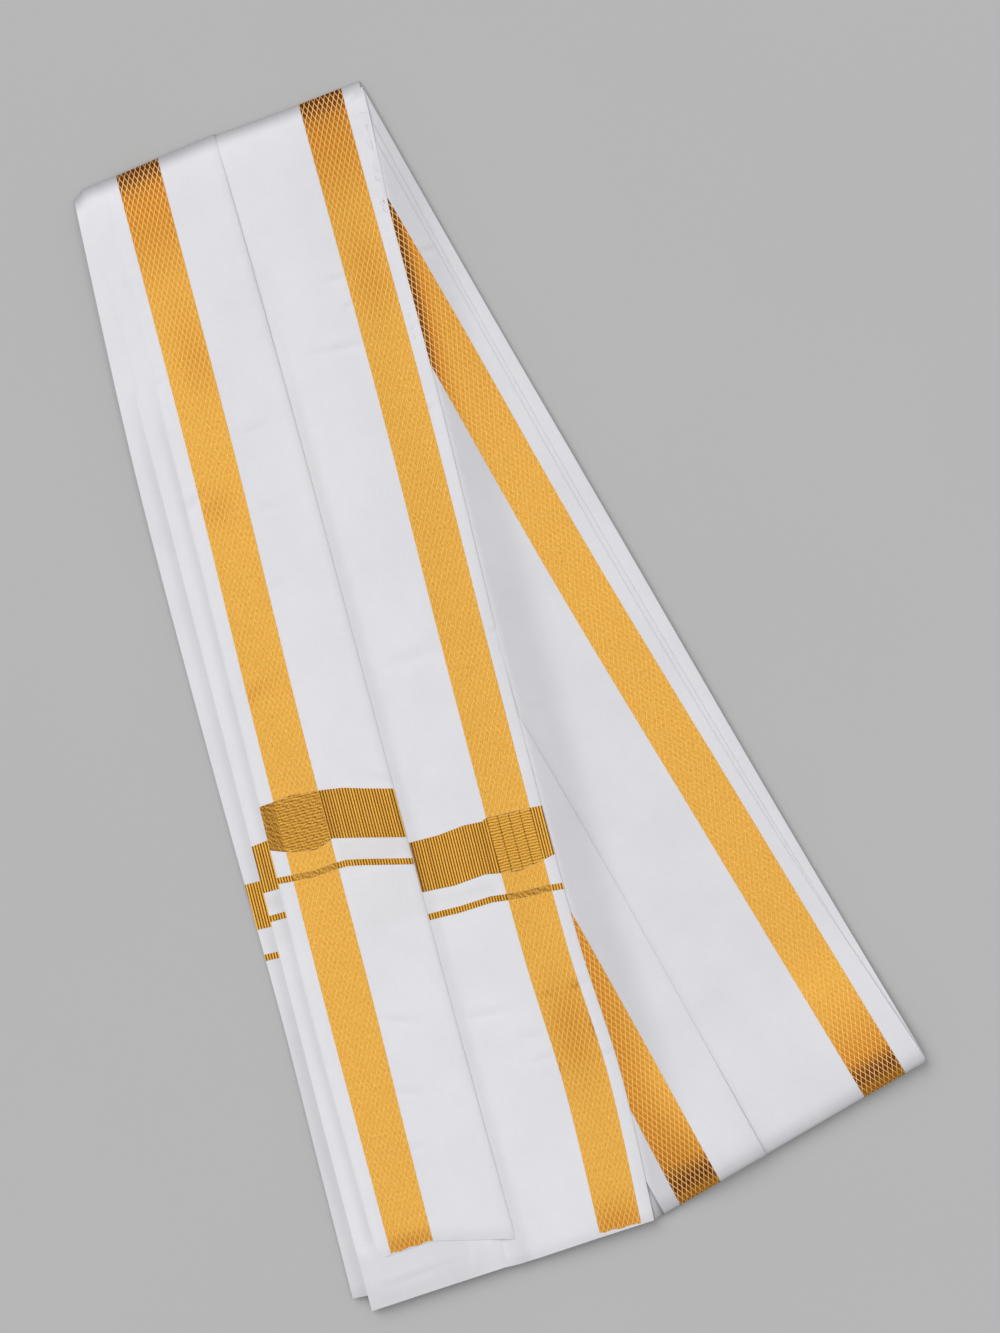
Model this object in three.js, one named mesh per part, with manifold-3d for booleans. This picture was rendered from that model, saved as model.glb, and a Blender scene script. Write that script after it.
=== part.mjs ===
// An angavastram: one long cotton stole with a gold (zari) border near each selvage. It is pleated
// lengthwise in five layers, folded across to a quarter of its length, and laid on a surface with
// its two visible stretches splayed from the top fold: the front stretch lies on the back one.
// Millimetres, +Z up. The origin is under the middle of the laid cloth, on the surface.
import * as THREE from "three";
import { mergeVertices } from "three/addons/utils/BufferGeometryUtils.js";
import Module from "manifold-3d";

const wasm = await Module();
wasm.setup();

// ---- Driving dimensions -------------------------------------------------------------------

const FOLD_LEFT = { x: -210.7, y: 249.5 }; // left end of the top fold
const FOLD_HEADING = 21.95; // degrees that the top fold rises to the right
const FRONT_LEAN = 14.24; // degrees that the front stretch swings right of straight down
const BACK_LEAN = 30.33; // the same for the back stretch

const FRONT_LENGTH = 565; // top fold to the lower pleat's free end, down the front stretch
const BACK_LENGTH = 585; // top fold to the bottom fold, down the back stretch

const WALL = 1; // cloth
const GAP = 0.3; // air between pieces that lie on each other
const BACK_CORE = 3.4; // height of the back stretch's hidden layers
const FRONT_CORE = 3.6; // and of the front stretch's
const CORE_LAYERS = 3; // layers that show at a core's edges
const CORE_ROUNDING = [1.1, 0, 0.7]; // inset of each of these layers, from the lowest up

const TOP_FOLD_REACH = 7; // how far back from the top fold its round begins
const BOTTOM_FOLD_REACH = 4.5; // the same at the back stretch's bottom fold
const RAMP_START = 9; // the front stretch leaves the back one this far outside its left edge
const RAMP_LENGTH = 22; // and reaches the surface over this length
const CORE_SETBACK = 2; // the front's hidden layers end this far inside the lower pleat

// How far the front's hidden layers reach past the lower pleat's selvage: beside the top fold
// they show, and further down the selvage hangs out over them.
const FRONT_CORE_RIGHT = { along: [-13, 45, 85, 125, 200], beyond: [2.2, 1, -2, -6, -6] };

const LINE_WIDTH = 3.2; // thin gold line after each end band
const GOLD_FOLD_END = 2; // height above the surface at which gold ends on a fold's round

const STEP = WALL + GAP; // one sheet and the air under the next
const LIFT = BACK_CORE + GAP; // height of the back stretch's lower pleat, and the front's lift
const BACK_CLEAR = 2 * STEP; // the back's sheets start this far in from the front's round

// Where the edges of the pleats and borders lie across each stretch, measured from the line
// through the left end of the top fold, at several distances along the stretch.
const FRONT_EDGES = {
  along: [-40, 0, 140, 280, 420, 490, 575],
  outer: [0.5, -0.6, -4.6, -3.7, -0.8, -0.8, -0.7], // lower pleat's left fold
  second: [3.5, 4, 5.3, 5.7, 6, 6.1, 7], // second pleat's left fold
  selvage: [12.6, 13, 15.5, 14.8, 13.8, 15, 17], // top pleat's free edge
  leftIn: [22, 22.6, 23.3, 22, 21.9, 22.6, 23.6], // left border
  leftOut: [44.5, 44.8, 45.8, 44.7, 45.5, 45.1, 45.2],
  fold: [74, 75.5, 79, 81.1, 82.8, 83.9, 85.8], // top pleat's right fold
  rightIn: [119, 119.6, 121.8, 122, 123.6, 127.2, 126.2], // right border
  rightOut: [141.7, 141.8, 144.4, 144.5, 145.8, 149.8, 147.2],
  rightSelvage: [150, 150.4, 152, 150.2, 152, 156.2, 153.9], // lower pleat's free edge
};
const BACK_EDGES = {
  along: [-40, 0, 140, 280, 440, 600],
  coreLeft: [0, 0, 0, -1, -3, -6], // left edge of the hidden layers
  leftIn: [12, 12, 12, 12, 12.6, 6.2], // left border
  leftOut: [34, 34, 33.8, 33.5, 33.4, 29.6],
  fold: [62, 61.6, 61, 60.6, 59.8, 56], // top pleat's right fold
  rightIn: [112, 111.6, 110.2, 108.8, 110.9, 113.2], // right border
  rightOut: [134, 133.8, 134, 132.3, 134.5, 136.7],
  selvage: [146, 144.5, 141.6, 139.2, 141, 147.9], // lower pleat's free edge
  second: [150, 149, 145, 143, 144, 148.4], // upper ledge of the hidden layers
  outer: [152, 151.6, 149.7, 149.3, 148.5, 149.2], // lower ledge
};

// How far down the front stretch the end bands and ends lie, at their left and right ends.
const TOP_BAND = { start: [317, 324], end: [341, 349], line: [353.3, 360.4] };
const LOWER_BAND = { start: [352.4, 350.4], end: [377.8, 376.6], line: [389.2, 390.2] };
const SECOND_BAND = { start: [335.3, 335], end: [358.8, 358.5], line: [370.6, 370.3] };
const OUTER_BAND = { start: [352, 352.4], end: [376.6, 377], line: [388.2, 388.6] };
const TOP_END = [549.6, 556.6]; // top pleat's free end
const SECOND_END = [573.8, 568.3]; // second pleat's free end

// ---- Materials ----------------------------------------------------------------------------

const cotton = new THREE.MeshStandardMaterial({ color: 0xe4e4e8, roughness: 0.85, metalness: 0 });
const zari = new THREE.MeshStandardMaterial({ color: 0xd9a036, roughness: 0.4, metalness: 0.6 });

// ---- Places on a stretch ------------------------------------------------------------------

const FAR = 60; // beyond a stretch's outline, for cutting shapes
const WIDE = 240; // wider than a stretch
const SWEEP = 800; // how far a swept profile reaches both ways, which is past the whole cloth
const BELOW = -5; // under everything
const ABOVE = 25; // over everything
const BITE = 0.4; // how far parts of one solid reach into each other, so that they join
const EDGE_STEP = 70; // between points on an edge
const RAMP_STEPS = 6; // flats that make the ramp down off the back stretch
const ROUND_STEPS = 7; // flats that make each half ellipse of a fold's round
const SAME_POINT = 1e-4; // points this close are one
const radians = THREE.MathUtils.degToRad;

// A stretch has an axis across it, to the right, and one down it, away from the top fold.
function stretch(lean, edges) {
  const angle = radians(lean);
  return {
    across: new THREE.Vector2(Math.cos(angle), Math.sin(angle)),
    down: new THREE.Vector2(Math.sin(angle), -Math.cos(angle)),
    edges,
  };
}
const front = stretch(FRONT_LEAN, FRONT_EDGES);
const back = stretch(BACK_LEAN, BACK_EDGES);

const topFold = new THREE.Vector2(FOLD_LEFT.x, FOLD_LEFT.y);
const topFoldInward = new THREE.Vector2(
  Math.sin(radians(FOLD_HEADING)),
  -Math.cos(radians(FOLD_HEADING)),
);
const bottomFold = topFold.clone().addScaledVector(back.down, BACK_LENGTH);
const bottomFoldInward = back.down.clone().negate();

// An edge is a row of the table, moved right by an inset, or a straight line down the stretch.
const edge = (name, inset = 0) => ({ name, inset });
const straight = (across) => ({ name: null, inset: across });

// The surface point at a distance across and down a stretch.
function place(on, across, along) {
  return topFold.clone().addScaledVector(on.across, across).addScaledVector(on.down, along);
}

// How far across an edge lies, on a smooth curve through its row of the table.
function edgeAt(on, { name, inset }, along) {
  if (name === null) return inset;
  const stations = on.edges.along;
  const across = on.edges[name];
  const last = stations.length - 1;
  let row = 0;
  while (row < last - 1 && stations[row + 1] < along) row += 1;
  const slope = (i) => {
    const before = Math.max(i - 1, 0);
    const after = Math.min(i + 1, last);
    return (across[after] - across[before]) / (stations[after] - stations[before]);
  };
  const span = stations[row + 1] - stations[row];
  const t = THREE.MathUtils.clamp((along - stations[row]) / span, 0, 1);
  const keep = 2 * t ** 3 - 3 * t ** 2 + 1;
  return (
    inset +
    keep * across[row] +
    (1 - keep) * across[row + 1] +
    (t ** 3 - 2 * t ** 2 + t) * span * slope(row) +
    (t ** 3 - t ** 2) * span * slope(row + 1)
  );
}

// Points down one edge, from one distance to another.
function edgePoints(on, along, from, to) {
  const steps = Math.max(1, Math.round(Math.abs(to - from) / EDGE_STEP));
  const points = [];
  for (let i = 0; i <= steps; i += 1) {
    const distance = from + ((to - from) * i) / steps;
    points.push(place(on, edgeAt(on, along, distance), distance));
  }
  return points;
}

// The distance down a stretch at which an edge is `reach` in from the top fold.
function fromTopFold(on, along, reach) {
  const across = edgeAt(on, along, 0);
  return (reach - across * on.across.dot(topFoldInward)) / on.down.dot(topFoldInward);
}

// A four-sided outline between two edges. Start and end give a distance for each edge.
function outline(on, left, right, start, end) {
  return [
    ...edgePoints(on, left, start[0], end[0]),
    ...edgePoints(on, right, end[1], start[1]),
  ];
}

// ---- Solids -------------------------------------------------------------------------------

function solidOf(geometry) {
  geometry.deleteAttribute("normal");
  geometry.deleteAttribute("uv");
  const merged = mergeVertices(geometry, SAME_POINT);
  const mesh = new wasm.Mesh({
    numProp: 3,
    vertProperties: new Float32Array(merged.attributes.position.array),
    triVerts: new Uint32Array(merged.index.array),
  });
  return new wasm.Manifold(mesh);
}

// An upright block over an outline.
function prism(points, bottom = BELOW, top = ABOVE) {
  const options = { depth: top - bottom, bevelEnabled: false };
  const geometry = new THREE.ExtrudeGeometry(new THREE.Shape(points), options);
  geometry.translate(0, 0, bottom);
  return solidOf(geometry);
}

// A profile drawn as (distance inward, height), swept level along a line through `origin`.
function sweep(shape, origin, inward) {
  const options = { depth: 2 * SWEEP, bevelEnabled: false, curveSegments: ROUND_STEPS };
  const geometry = new THREE.ExtrudeGeometry(shape, options);
  const side = new THREE.Vector3(inward.x, inward.y, 0);
  const up = new THREE.Vector3(0, 0, 1);
  const basis = new THREE.Matrix4().makeBasis(side, up, side.clone().cross(up));
  geometry.translate(0, 0, -SWEEP);
  geometry.applyMatrix4(basis);
  geometry.translate(origin.x, origin.y, 0);
  return solidOf(geometry);
}

// How high the front stretch is carried at a distance outside (-) the back one's left edge.
function liftAt(distance) {
  return LIFT * THREE.MathUtils.smoothstep(distance, -RAMP_START - RAMP_LENGTH, -RAMP_START);
}

// A layer of the front stretch, which lies on the back one and runs down off its left edge.
function drapedLayer(bottom, top) {
  const distances = [-SWEEP];
  for (let i = 0; i <= RAMP_STEPS; i += 1) {
    distances.push(-RAMP_START - RAMP_LENGTH + (RAMP_LENGTH * i) / RAMP_STEPS);
  }
  distances.push(SWEEP);
  const lower = distances.map((d) => new THREE.Vector2(d, liftAt(d) + bottom));
  const upper = distances.map((d) => new THREE.Vector2(d, liftAt(d) + top));
  return sweep(new THREE.Shape([...lower, ...upper.reverse()]), topFold, back.across);
}

// The round that a sheet makes at a fold: half an ellipse of one wall, from the sheet's own
// height down to the surface. `proud` moves it outwards, for what lies on the sheet.
function foldRound(origin, inward, reach, top, proud = 0) {
  const middle = (top - proud) / 2;
  const outer = { x: reach - STEP + proud, y: middle + proud };
  const inner = { x: outer.x - WALL, y: outer.y - WALL };
  const shape = new THREE.Shape();
  const upward = Math.PI / 2;
  const downward = (3 * Math.PI) / 2;
  shape.moveTo(reach + BITE, middle + outer.y);
  shape.lineTo(reach, middle + outer.y);
  shape.absellipse(reach, middle, outer.x, outer.y, upward, downward, false, 0);
  shape.lineTo(reach, middle - inner.y);
  shape.absellipse(reach, middle, inner.x, inner.y, downward, upward, true, 0);
  shape.lineTo(reach + BITE, middle + inner.y);
  shape.closePath();
  return sweep(shape, origin, inward);
}

// Hidden layers as one solid, whose layers show at its rounded edges.
function layeredCore(height, layerSolid, layerOutline) {
  let core = null;
  for (let i = 0; i < CORE_LAYERS; i += 1) {
    const bottom = (height * i) / CORE_LAYERS - (i > 0 ? BITE : 0);
    const top = (height * (i + 1)) / CORE_LAYERS;
    const layer = layerSolid(bottom, top).intersect(prism(layerOutline(CORE_ROUNDING[i], i)));
    core = core ? core.add(layer) : layer;
  }
  return core;
}

function meshOf(name, solid, material) {
  const { numProp, vertProperties, triVerts } = solid.getMesh();
  const positions = [];
  for (let i = 0; i < vertProperties.length; i += numProp) {
    positions.push(vertProperties[i], vertProperties[i + 1], vertProperties[i + 2]);
  }
  const geometry = new THREE.BufferGeometry();
  geometry.setAttribute("position", new THREE.Float32BufferAttribute(positions, 3));
  geometry.setIndex(Array.from(triVerts));
  const mesh = new THREE.Mesh(geometry, material);
  mesh.name = name;
  return mesh;
}

// ---- Levels -------------------------------------------------------------------------------

// Heights of the sheets' undersides: the front's are over its own surface, before the lift.
const BACK_LEVEL = { lower: LIFT, top: LIFT + STEP };
const FRONT_LEVEL = {
  lower: FRONT_CORE + GAP,
  second: FRONT_CORE + GAP + STEP,
  top: FRONT_CORE + GAP + 2 * STEP,
};

// ---- Front stretch ------------------------------------------------------------------------

// The space between two edges of the front stretch, from the start of the top fold's round.
function frontSpace(left, right, end) {
  const start = [left, right].map((along) => fromTopFold(front, along, TOP_FOLD_REACH));
  return prism(outline(front, left, right, start, end));
}

// The space over the top fold between two edges of the front stretch.
function topFoldSpace(left, right, bottom) {
  const start = [left, right].map((along) => fromTopFold(front, along, -FAR));
  const end = [left, right].map((along) => fromTopFold(front, along, TOP_FOLD_REACH + BITE));
  return prism(outline(front, left, right, start, end), bottom);
}

// A sheet of the front stretch from the top fold to its free end. `rounds` lists the pairs of
// edges between which it goes over the top fold.
function frontSheet({ sides, end, level, rounds = [] }) {
  let sheet = drapedLayer(level, level + WALL).intersect(frontSpace(...sides, end));
  const round = foldRound(topFold, topFoldInward, TOP_FOLD_REACH, LIFT + level + WALL);
  for (const [from, to] of rounds) {
    sheet = sheet.add(round.intersect(topFoldSpace(from, to, BELOW)));
  }
  return sheet;
}

// Gold woven across or along a sheet of the front stretch, as a strip just above it.
function frontGold(left, right, start, end, sheetLevel) {
  const level = sheetLevel + STEP;
  const space = prism(outline(front, left, right, start, end));
  return drapedLayer(level, level + WALL).intersect(space);
}

// Gold that also goes over the top fold with its sheet, down to just above the surface.
function frontGoldFromFold(left, right, end, sheetLevel) {
  const level = sheetLevel + STEP;
  const flat = drapedLayer(level, level + WALL).intersect(frontSpace(left, right, end));
  const top = LIFT + level + WALL;
  const round = foldRound(topFold, topFoldInward, TOP_FOLD_REACH, top, STEP);
  return flat.add(round.intersect(topFoldSpace(left, right, GOLD_FOLD_END)));
}

// The hidden layers' outline.
function frontCoreOutline(inset) {
  const left = edge("outer", CORE_SETBACK + inset);
  const start = fromTopFold(front, left, TOP_FOLD_REACH + STEP + inset);
  const end = FRONT_LENGTH - CORE_SETBACK - inset;
  const right = FRONT_CORE_RIGHT.along.map((along, i) => {
    const across = edgeAt(front, edge("rightSelvage", FRONT_CORE_RIGHT.beyond[i] - inset), along);
    return place(front, across, along);
  });
  const last = FRONT_CORE_RIGHT.along.length - 1;
  const overhang = edge("rightSelvage", FRONT_CORE_RIGHT.beyond[last] - inset);
  return [
    ...edgePoints(front, left, start, end),
    ...edgePoints(front, overhang, end, FRONT_CORE_RIGHT.along[last]),
    ...right.reverse().slice(1),
  ];
}

// The distance down the stretch at which a line from left[along] to right[along] meets an edge.
function meet(pair, [left, right], across) {
  const middle = (pair[0] + pair[1]) / 2;
  const from = edgeAt(front, left, middle);
  const share = (edgeAt(front, across, middle) - from) / (edgeAt(front, right, middle) - from);
  return THREE.MathUtils.lerp(pair[0], pair[1], share);
}

const shifted = (pair, by) => pair.map((along) => along + by);

// The gold on one pleat: its border from the top fold to the free end, broken by the end band
// and the thin line, which cross the pleat from side to side.
function addPleatGold(pieces, pleat, { sides, border, band, end, level }) {
  const [left, right] = sides;
  const lineEnd = shifted(band.line, LINE_WIDTH);
  const at = (pair, by) => border.map((along) => meet(shifted(pair, by), sides, along));
  const [inner, outer] = border;
  pieces.push(
    [`${pleat}_border`, frontGoldFromFold(inner, outer, at(band.start, -GAP), level), zari],
    [`${pleat}_band`, frontGold(left, right, band.start, band.end, level), zari],
    [
      `${pleat}_border_gap`,
      frontGold(inner, outer, at(band.end, GAP), at(band.line, -GAP), level),
      zari,
    ],
    [`${pleat}_line`, frontGold(left, right, band.line, lineEnd, level), zari],
    [`${pleat}_border_end`, frontGold(inner, outer, at(lineEnd, GAP), at(end, 0), level), zari],
  );
}

// The end of a band that shows on a ledge at the left.
function addLedgeGold(pieces, ledge, left, right, band, level) {
  const lineEnd = shifted(band.line, LINE_WIDTH);
  pieces.push(
    [`${ledge}_band`, frontGold(left, right, band.start, band.end, level), zari],
    [`${ledge}_line`, frontGold(left, right, band.line, lineEnd, level), zari],
  );
}

function addFront(pieces) {
  const { lower, second, top } = FRONT_LEVEL;
  const outer = edge("outer");
  const selvage = edge("selvage");
  const fold = edge("fold");
  const rightSelvage = edge("rightSelvage");
  const lowerEnd = [FRONT_LENGTH, FRONT_LENGTH];
  pieces.push(["front_core", layeredCore(FRONT_CORE, drapedLayer, frontCoreOutline), cotton]);

  const lowerPleat = frontSheet({
    sides: [outer, rightSelvage],
    end: lowerEnd,
    level: lower,
    rounds: [
      [outer, edge("selvage", -GAP)],
      [edge("fold", GAP), rightSelvage],
    ],
  });
  const secondSides = [edge("second"), edge("fold", -GAP)];
  const secondPleat = frontSheet({ sides: secondSides, end: SECOND_END, level: second });
  const topPleat = frontSheet({
    sides: [selvage, fold],
    end: TOP_END,
    level: top,
    rounds: [[selvage, fold]],
  });
  pieces.push(
    ["front_lower_pleat", lowerPleat, cotton],
    ["front_second_pleat", secondPleat, cotton],
    ["front_top_pleat", topPleat, cotton],
  );

  addPleatGold(pieces, "front_top", {
    sides: [selvage, fold],
    border: [edge("leftIn"), edge("leftOut")],
    band: TOP_BAND,
    end: TOP_END,
    level: top,
  });
  addPleatGold(pieces, "front_lower", {
    sides: [edge("fold", GAP), rightSelvage],
    border: [edge("rightIn"), edge("rightOut")],
    band: LOWER_BAND,
    end: lowerEnd,
    level: lower,
  });
  addLedgeGold(pieces, "front_second", secondSides[0], edge("selvage", -GAP), SECOND_BAND, second);
  addLedgeGold(pieces, "front_outer", outer, edge("second", -2 * GAP), OUTER_BAND, lower);
}

// ---- Back stretch -------------------------------------------------------------------------

function backLayer(bottom, top) {
  const corners = [[-FAR, -FAR], [WIDE, -FAR], [WIDE, BACK_LENGTH], [-FAR, BACK_LENGTH]];
  return prism(corners.map(([across, along]) => place(back, across, along)), bottom, top);
}

// The hidden layers' outline: the highest layer reaches the upper ledge, the others the lower.
function backCoreOutline(inset, layer) {
  const left = edge("coreLeft", inset);
  const right = edge(layer < CORE_LAYERS - 1 ? "outer" : "second", -inset);
  const clear = TOP_FOLD_REACH + STEP + inset;
  const start = [left, right].map((along) => fromTopFold(back, along, clear));
  const end = BACK_LENGTH - BOTTOM_FOLD_REACH - GAP - inset;
  return outline(back, left, right, start, [end, end]);
}

// The space under the front stretch's overhang, out from its hidden layers.
const besideFrontCore = () => prism(frontCoreOutline(-GAP));

// A sheet of the back stretch, from under the front one to the bottom fold and round it between
// two edges. `proud` is for what lies on a sheet.
function backSheet({ left, right, level, round, proud = 0 }) {
  const clear = TOP_FOLD_REACH + BACK_CLEAR;
  const start = [left, right].map((along) => fromTopFold(back, along, clear));
  const end = BACK_LENGTH - BOTTOM_FOLD_REACH;
  const flat = backLayer(level, level + WALL).intersect(
    prism(outline(back, left, right, start, [end, end])),
  );
  const [from, to] = round;
  const beyond = [BACK_LENGTH + FAR, BACK_LENGTH + FAR];
  const foldSpace = prism(
    outline(back, from, to, [end - BITE, end - BITE], beyond),
    proud > 0 ? GOLD_FOLD_END : BELOW,
  );
  const foldSheet = foldRound(bottomFold, bottomFoldInward, BOTTOM_FOLD_REACH, level + WALL, proud);
  return flat.add(foldSheet.intersect(foldSpace)).subtract(besideFrontCore());
}

function addBack(pieces) {
  const { lower, top } = BACK_LEVEL;
  const gold = (left, right, sheetLevel) =>
    backSheet({ left, right, level: sheetLevel + STEP, round: [left, right], proud: STEP });
  pieces.push(["back_core", layeredCore(BACK_CORE, backLayer, backCoreOutline), cotton]);
  pieces.push([
    "back_lower_pleat",
    backSheet({
      left: straight(0),
      right: edge("selvage"),
      level: lower,
      round: [edge("fold", GAP), edge("selvage")],
    }),
    cotton,
  ]);
  pieces.push([
    "back_top_pleat",
    backSheet({
      left: straight(0),
      right: edge("fold"),
      level: top,
      round: [straight(0), edge("fold")],
    }),
    cotton,
  ]);
  pieces.push(["back_right_border", gold(edge("rightIn"), edge("rightOut"), lower), zari]);
  pieces.push(["back_left_border", gold(edge("leftIn"), edge("leftOut"), top), zari]);
}

// ---- The whole ----------------------------------------------------------------------------

const group = new THREE.Group();
const pieces = [];
addBack(pieces);
addFront(pieces);
for (const [name, solid, material] of pieces) {
  group.add(meshOf(name, solid, material));
}

export default group;
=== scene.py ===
"""The looks of a folded angavastram: a long cotton stole with a gold (zari) border near each
selvage and gold bands near its end.

The cloth is pleated lengthwise, folded across, and lies on a surface in two stretches splayed from
the top fold: the front stretch on the back one. Each piece is a thin shell in its CAD solid's
place. Sizes are in millimetres until a mesh is made, and heights are above the surface.
"""

import math

import bpy
import numpy as np
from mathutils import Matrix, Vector


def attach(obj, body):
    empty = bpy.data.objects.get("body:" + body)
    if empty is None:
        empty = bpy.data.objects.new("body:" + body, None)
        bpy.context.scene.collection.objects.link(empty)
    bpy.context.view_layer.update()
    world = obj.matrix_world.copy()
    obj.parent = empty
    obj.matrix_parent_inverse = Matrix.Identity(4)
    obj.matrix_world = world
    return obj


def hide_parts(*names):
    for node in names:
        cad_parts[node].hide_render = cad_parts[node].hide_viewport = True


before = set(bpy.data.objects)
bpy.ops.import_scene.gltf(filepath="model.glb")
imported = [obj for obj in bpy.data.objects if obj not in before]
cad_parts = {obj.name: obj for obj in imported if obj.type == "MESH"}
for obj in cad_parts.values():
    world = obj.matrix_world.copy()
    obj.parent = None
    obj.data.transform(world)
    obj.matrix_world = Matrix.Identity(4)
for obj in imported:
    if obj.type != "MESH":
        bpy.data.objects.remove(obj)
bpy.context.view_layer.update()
scene = bpy.context.scene

# ---- Driving dimensions: the CAD's, with a few edges and the ramp refined ----

METRE = 0.001  # of a millimetre

TOP_LEFT = np.array((-210.7, 249.5))  # left end of the top fold
FOLD_HEADING = 21.95  # degrees that the top fold rises to the right
FRONT_LEAN = 14.24  # degrees that the front stretch swings right of straight down
BACK_LEAN = 30.33
BACK_LENGTH = 585  # down to the lower fold
LIFT = 3.7  # how far the back stretch carries the front one
RAMP_START = 9  # the front stretch comes down this far outside the back one's left edge
RAMP_LENGTH = 70  # and reaches the surface over this length

FRONT_EDGES = {
    "along": [-40, 0, 140, 280, 420, 490, 575],
    "outer": [0.5, -0.6, -4.6, -3.7, -0.8, -0.8, -0.7],  # lower pleat's left fold
    "second": [3.5, 4, 5.3, 5.7, 6, 6.1, 7],  # second pleat's left fold
    "selvage": [12.6, 13, 15.5, 14.8, 13.8, 15, 17],  # top pleat's free edge
    "leftIn": [22, 22.6, 23.3, 22, 21.9, 22.6, 23.6],  # left border
    "leftOut": [44.5, 44.8, 45.8, 44.7, 45.5, 45.1, 45.2],
    "fold": [74, 75.5, 79, 81.1, 82.8, 83.9, 85.8],  # top pleat's right fold
    "rightIn": [119, 119.6, 121.8, 122, 123.6, 127.2, 126.2],  # right border
    "rightOut": [141.7, 141.8, 144.4, 144.5, 145.8, 149.8, 147.2],
    "rightSelvage": [153.2, 150.2, 151.1, 150.2, 152, 156.2, 153.9],
    "coreRight": [152.2, 152.2, 146, 144, 146, 150, 148],  # hidden layers
}
BACK_EDGES = {
    "along": [-40, 0, 140, 280, 440, 600],
    "coreLeft": [0, 0, 0, -1, -3, -8],  # hidden layers
    "leftSelvage": [0, 0, 0, 0, 0, -2.5],  # top pleat's free edge
    "leftIn": [12, 12, 12, 12, 12.6, 6.2],  # left border
    "leftOut": [34, 34, 33.8, 33.5, 33.4, 29.6],
    "fold": [62, 61.6, 61, 60.6, 59.8, 56],  # top pleat's right fold
    "rightIn": [112, 111.6, 110.9, 109, 110.9, 113.2],  # right border
    "rightOut": [134, 133.8, 134, 132.3, 134.5, 136.7],
    "selvage": [146, 144.5, 141.6, 139.2, 141, 149.6],  # lower pleat's free edge
    "second": [150, 149, 145, 143, 144, 148.4],  # upper ledge of the hidden layers
    "outer": [152, 151.6, 149.6, 149, 148.2, 149.2],  # lower ledge
}

# A line across a stretch is several places across it, and how far along it the line lies there.
# Of each band there are the start, the end and the start of the thin line.
BANDS = {
    "front_top": (
        ([14, 20, 30, 45, 57, 67, 82], [317, 316.5, 315.2, 316.2, 317.8, 320.7, 324.6]),
        ([14, 20, 25, 36, 40, 46, 61, 82], [339, 341.3, 342.8, 344.5, 343.5, 340.9, 344.3, 349.4]),
        ([14, 21, 33, 43, 50, 58, 82], [353.3, 353.7, 354.3, 353.2, 353, 354.6, 360.2]),
    ),
    "front_lower": (
        ([83, 97, 111, 120, 122, 140, 151], [352.5, 352.4, 350.8, 351.2, 350, 350.3, 350.7]),
        ([83, 99, 115, 121, 132, 143, 151], [377.9, 378.6, 376.9, 378, 379.6, 377.5, 375.7]),
        ([83, 99, 115, 122, 133, 143, 151], [389.1, 389.2, 388.2, 389, 389.8, 389.9, 390.5]),
    ),
    "front_second": (([4, 15], [335.4, 334]), ([4, 15], [359.2, 358.6]), ([4, 15], [370.7, 370.5])),
    "front_outer": (([-5, 7], [352.8, 352.8]), ([-5, 7], [375.9, 376.1]), ([-5, 7], [388.8, 389])),
}
LINE_WIDTH = 3.1
TOP_END = [17, 24, 45, 86], [549.6, 548.7, 547.2, 556.6]
SECOND_END = [7, 40, 86], [573.8, 571.4, 568.3]
LOWER_END = [-1, 20, 80, 95, 124, 154], [565.4, 566.5, 569.3, 568.5, 566.3, 564.4]
TOP_GOLD_END = [22, 25, 28, 33, 38, 42, 46], [548.5, 547.9, 548.3, 547.3, 547.6, 546.7, 547.1]
LOWER_GOLD_END = [125, 129, 133, 137, 142, 148], [563.3, 564.3, 563.6, 564.4, 563.7, 564.2]
CORE_END = [0, 150], [562.5, 562.5]

# ---- Sizes of the visible shells ----

LAYER = 0.3  # one layer of cloth
GOLD_RISE = 0.05  # woven gold stands this far off its cloth
GOLD_LAYER = 0.1
CELL = 1.4  # of a shell's grid where it shows
BACK_CELL = 1.75  # of the back stretch's
LEAF_CELL = 4  # across the edges of a hidden layer
LEAF_ROW = 6  # along a hidden layer
HIDDEN_CELL = 9  # across what never shows
BAND_CELL = 0.32  # of the ribbed gold

# Heights of the upper faces where the front stretch lies on the back one.
LEVEL = {
    "back_lower": 4.7,
    "back_top": 5.6,
    "front_lower": 8.9,
    "front_second": 9.8,
    "front_top": 10.7,
}
BACK_LEAVES = [0.9, 1.8, 2.7, 3.6, 4.1]  # hidden layers
FRONT_LEAVES = [4.8, 5.6, 6.4, 7.2, 7.9, 8.4]

# How each sheet droops at its edges: the edge, how far, over what width, and where along.
EVERYWHERE = (-200, 800)
NEAR_FOLD = (-200, 110)
PAST_FOLD = (110, 800)
LOWER_DROOPS = [
    ("outer", 0.8, 15, EVERYWHERE),
    ("second", -0.45, 6, NEAR_FOLD),
    ("rightSelvage", 3.6, 52, EVERYWHERE),
    ("rightSelvage", -0.9, 52, (280, 800)),
    ("rightSelvage", 0.7, 7, (262, 312)),
]
BACK_DROOPS = [("outer", -0.9, 40, (200, 800))]
DROOPS = {
    "front_lower": LOWER_DROOPS + [("fold", -0.6, 6, EVERYWHERE)],
    "front_second": [
        ("second", 0.9, 10, NEAR_FOLD),
        ("second", 0.8, 8, PAST_FOLD),
        ("fold", 0.6, 9, EVERYWHERE),
        ("fold", 1.4, 14, (545, 800)),
    ],
    "front_top": [
        ("selvage", 1.1, 9, NEAR_FOLD),
        ("selvage", 0.7, 5, PAST_FOLD),
        ("fold", 0.7, 3, EVERYWHERE),
    ],
    "front_leaves": LOWER_DROOPS,
    "back_lower": BACK_DROOPS,
    "back_top": [("fold", 0.4, 4, EVERYWHERE)],
    "back_leaves": BACK_DROOPS,
}
END_DROOP = (0.5, 8)  # the top pleat's at its free end, and how far back it begins
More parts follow.
